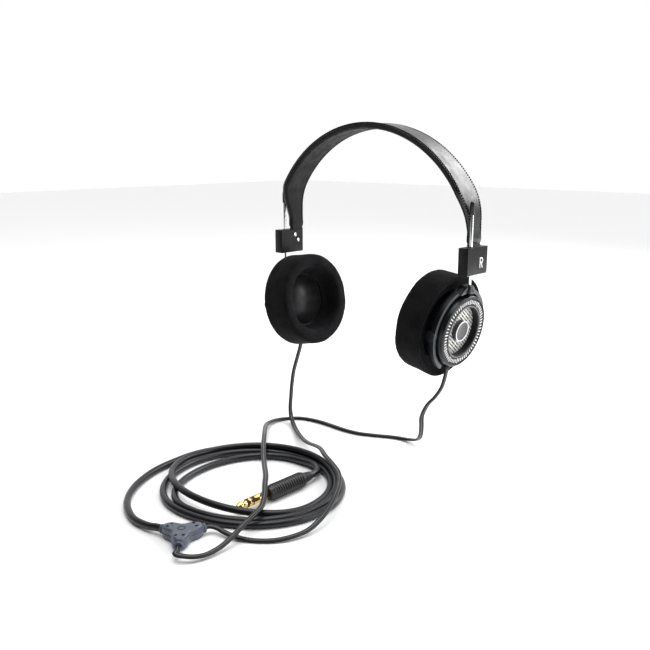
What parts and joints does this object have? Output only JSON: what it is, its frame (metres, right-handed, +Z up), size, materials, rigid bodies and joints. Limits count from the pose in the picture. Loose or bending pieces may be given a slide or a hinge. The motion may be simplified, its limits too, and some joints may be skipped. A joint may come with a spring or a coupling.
{
  "type": "over-ear headphones",
  "caption": "Open-backed headphones with a stitched leather band, rod-hung foam-padded cups, twin leads and a coiled cable ending in a full-size plug.",
  "frame": {"origin": "the underside of the headband at its crown, midway between the ears", "axes": "+X towards the listener's right ear along the width, +Z up, +Y across the band, so that the flat of the band lies along X and Y at the crown"},
  "size_m": [0.2054, 0.2752, 0.274],
  "materials": {
    "leather_black": "smooth fine-grained leather with a soft gloss",
    "lining_black": "matte suede-like leather",
    "spring_steel": "rolled spring strip",
    "block_plastic": "satin moulded",
    "mark_white": "printed, slightly raised",
    "bush_plastic": "natural acetal",
    "rivet_steel": "turned",
    "rod_steel": "polished",
    "cap_black": "semi-gloss",
    "yoke_grey": "fine-blasted, anodised grey",
    "screw_black": "blackened",
    "shell_dark": "turned and anodised, dark blue-grey",
    "grille_silver": "satin, with fine turning marks",
    "mesh_steel": "slotted",
    "button_grey": "satin with a bright edge",
    "baffle_black": "moulded",
    "frame_black": "moulded",
    "magnet_grey": "plated",
    "copper": "enamelled wire",
    "film": "thin film",
    "grid_black": "open cloth",
    "foam": "open-cell foam, matte",
    "relief_black": "moulded, satin",
    "lead_black": "satin, with a bright line between the two cores",
    "splitter_grey": "satin moulded",
    "cable_grey": "satin jacket",
    "grip_black": "ribbed, semi-gloss",
    "plug_gold": "gold plated",
    "insulator_black": "moulded"
  },
  "bodies": {
    "headband": {"leather_top": "leather_black", "spring_strip": "spring_steel", "leather_lining": "lining_black", "rod_block_right": "block_plastic", "side_mark_right": "mark_white", "bush_retainer_right": "block_plastic", "band_rivets_right": "rivet_steel", "rod_block_left": "block_plastic", "side_mark_left": "mark_white", "bush_retainer_left": "block_plastic", "band_rivets_left": "rivet_steel", "lead_right": "lead_black", "lead_left": "lead_black", "splitter_top": "splitter_grey", "splitter_base": "splitter_grey", "splitter_screws": "screw_black", "main_cable": "cable_grey", "cable_coil": "cable_grey", "plug_grip": "grip_black", "plug_relief": "relief_black", "plug_sleeve": "plug_gold", "plug_insulators": "insulator_black", "plug_ring": "plug_gold", "plug_tip": "plug_gold"},
    "bush_right": {"rod_bush_right": "bush_plastic"},
    "yoke_frame_right": {"rod_right": "rod_steel", "rod_cap_right": "cap_black", "yoke_right": "yoke_grey", "rod_screw_right": "screw_black"},
    "cup_right": {"pivot_pins_right": "rivet_steel", "cup_shell_right": "shell_dark", "grille_ring_right": "grille_silver", "grille_mesh_right": "mesh_steel", "centre_button_right": "button_grey", "baffle_right": "baffle_black", "driver_frame_right": "frame_black", "driver_magnet_right": "magnet_grey", "voice_coil_right": "copper", "diaphragm_right": "film", "driver_grid_right": "grid_black", "ear_cushion_right": "foam", "strain_relief_right": "relief_black"},
    "bush_left": {"rod_bush_left": "bush_plastic"},
    "yoke_frame_left": {"rod_left": "rod_steel", "rod_cap_left": "cap_black", "yoke_left": "yoke_grey", "rod_screw_left": "screw_black"},
    "cup_left": {"pivot_pins_left": "rivet_steel", "cup_shell_left": "shell_dark", "grille_ring_left": "grille_silver", "grille_mesh_left": "mesh_steel", "centre_button_left": "button_grey", "baffle_left": "baffle_black", "driver_frame_left": "frame_black", "driver_magnet_left": "magnet_grey", "voice_coil_left": "copper", "diaphragm_left": "film", "driver_grid_left": "grid_black", "ear_cushion_left": "foam", "strain_relief_left": "relief_black"}
  },
  "joints": [
    {"name": "swivel_right", "type": "hinge", "parent": "headband", "child": "bush_right", "pos_m": [0.098, -0.0045, -0.098], "axis": [0, 0, 1], "range_deg": [-90, 90], "deforming": ["lead_right"]},
    {"name": "rod_slide_right", "type": "slide", "parent": "bush_right", "child": "yoke_frame_right", "axis": [0, 0, -1], "range_m": [0, 0.0235], "deforming": ["lead_right"]},
    {"name": "cup_tilt_right", "type": "hinge", "parent": "yoke_frame_right", "child": "cup_right", "pos_m": [0.0862, -0.0045, -0.151], "axis": [0, 1, 0], "range_deg": [-12, 3], "deforming": ["lead_right"]},
    {"name": "swivel_left", "type": "hinge", "parent": "headband", "child": "bush_left", "pos_m": [-0.098, -0.0045, -0.098], "axis": [0, 0, -1], "range_deg": [-90, 90], "deforming": ["lead_left"]},
    {"name": "rod_slide_left", "type": "slide", "parent": "bush_left", "child": "yoke_frame_left", "axis": [0, 0, -1], "range_m": [0, 0.0235], "deforming": ["lead_left"]},
    {"name": "cup_tilt_left", "type": "hinge", "parent": "yoke_frame_left", "child": "cup_left", "pos_m": [-0.0862, -0.0045, -0.151], "axis": [0, -1, 0], "range_deg": [-12, 3], "deforming": ["lead_left"]}
  ]
}
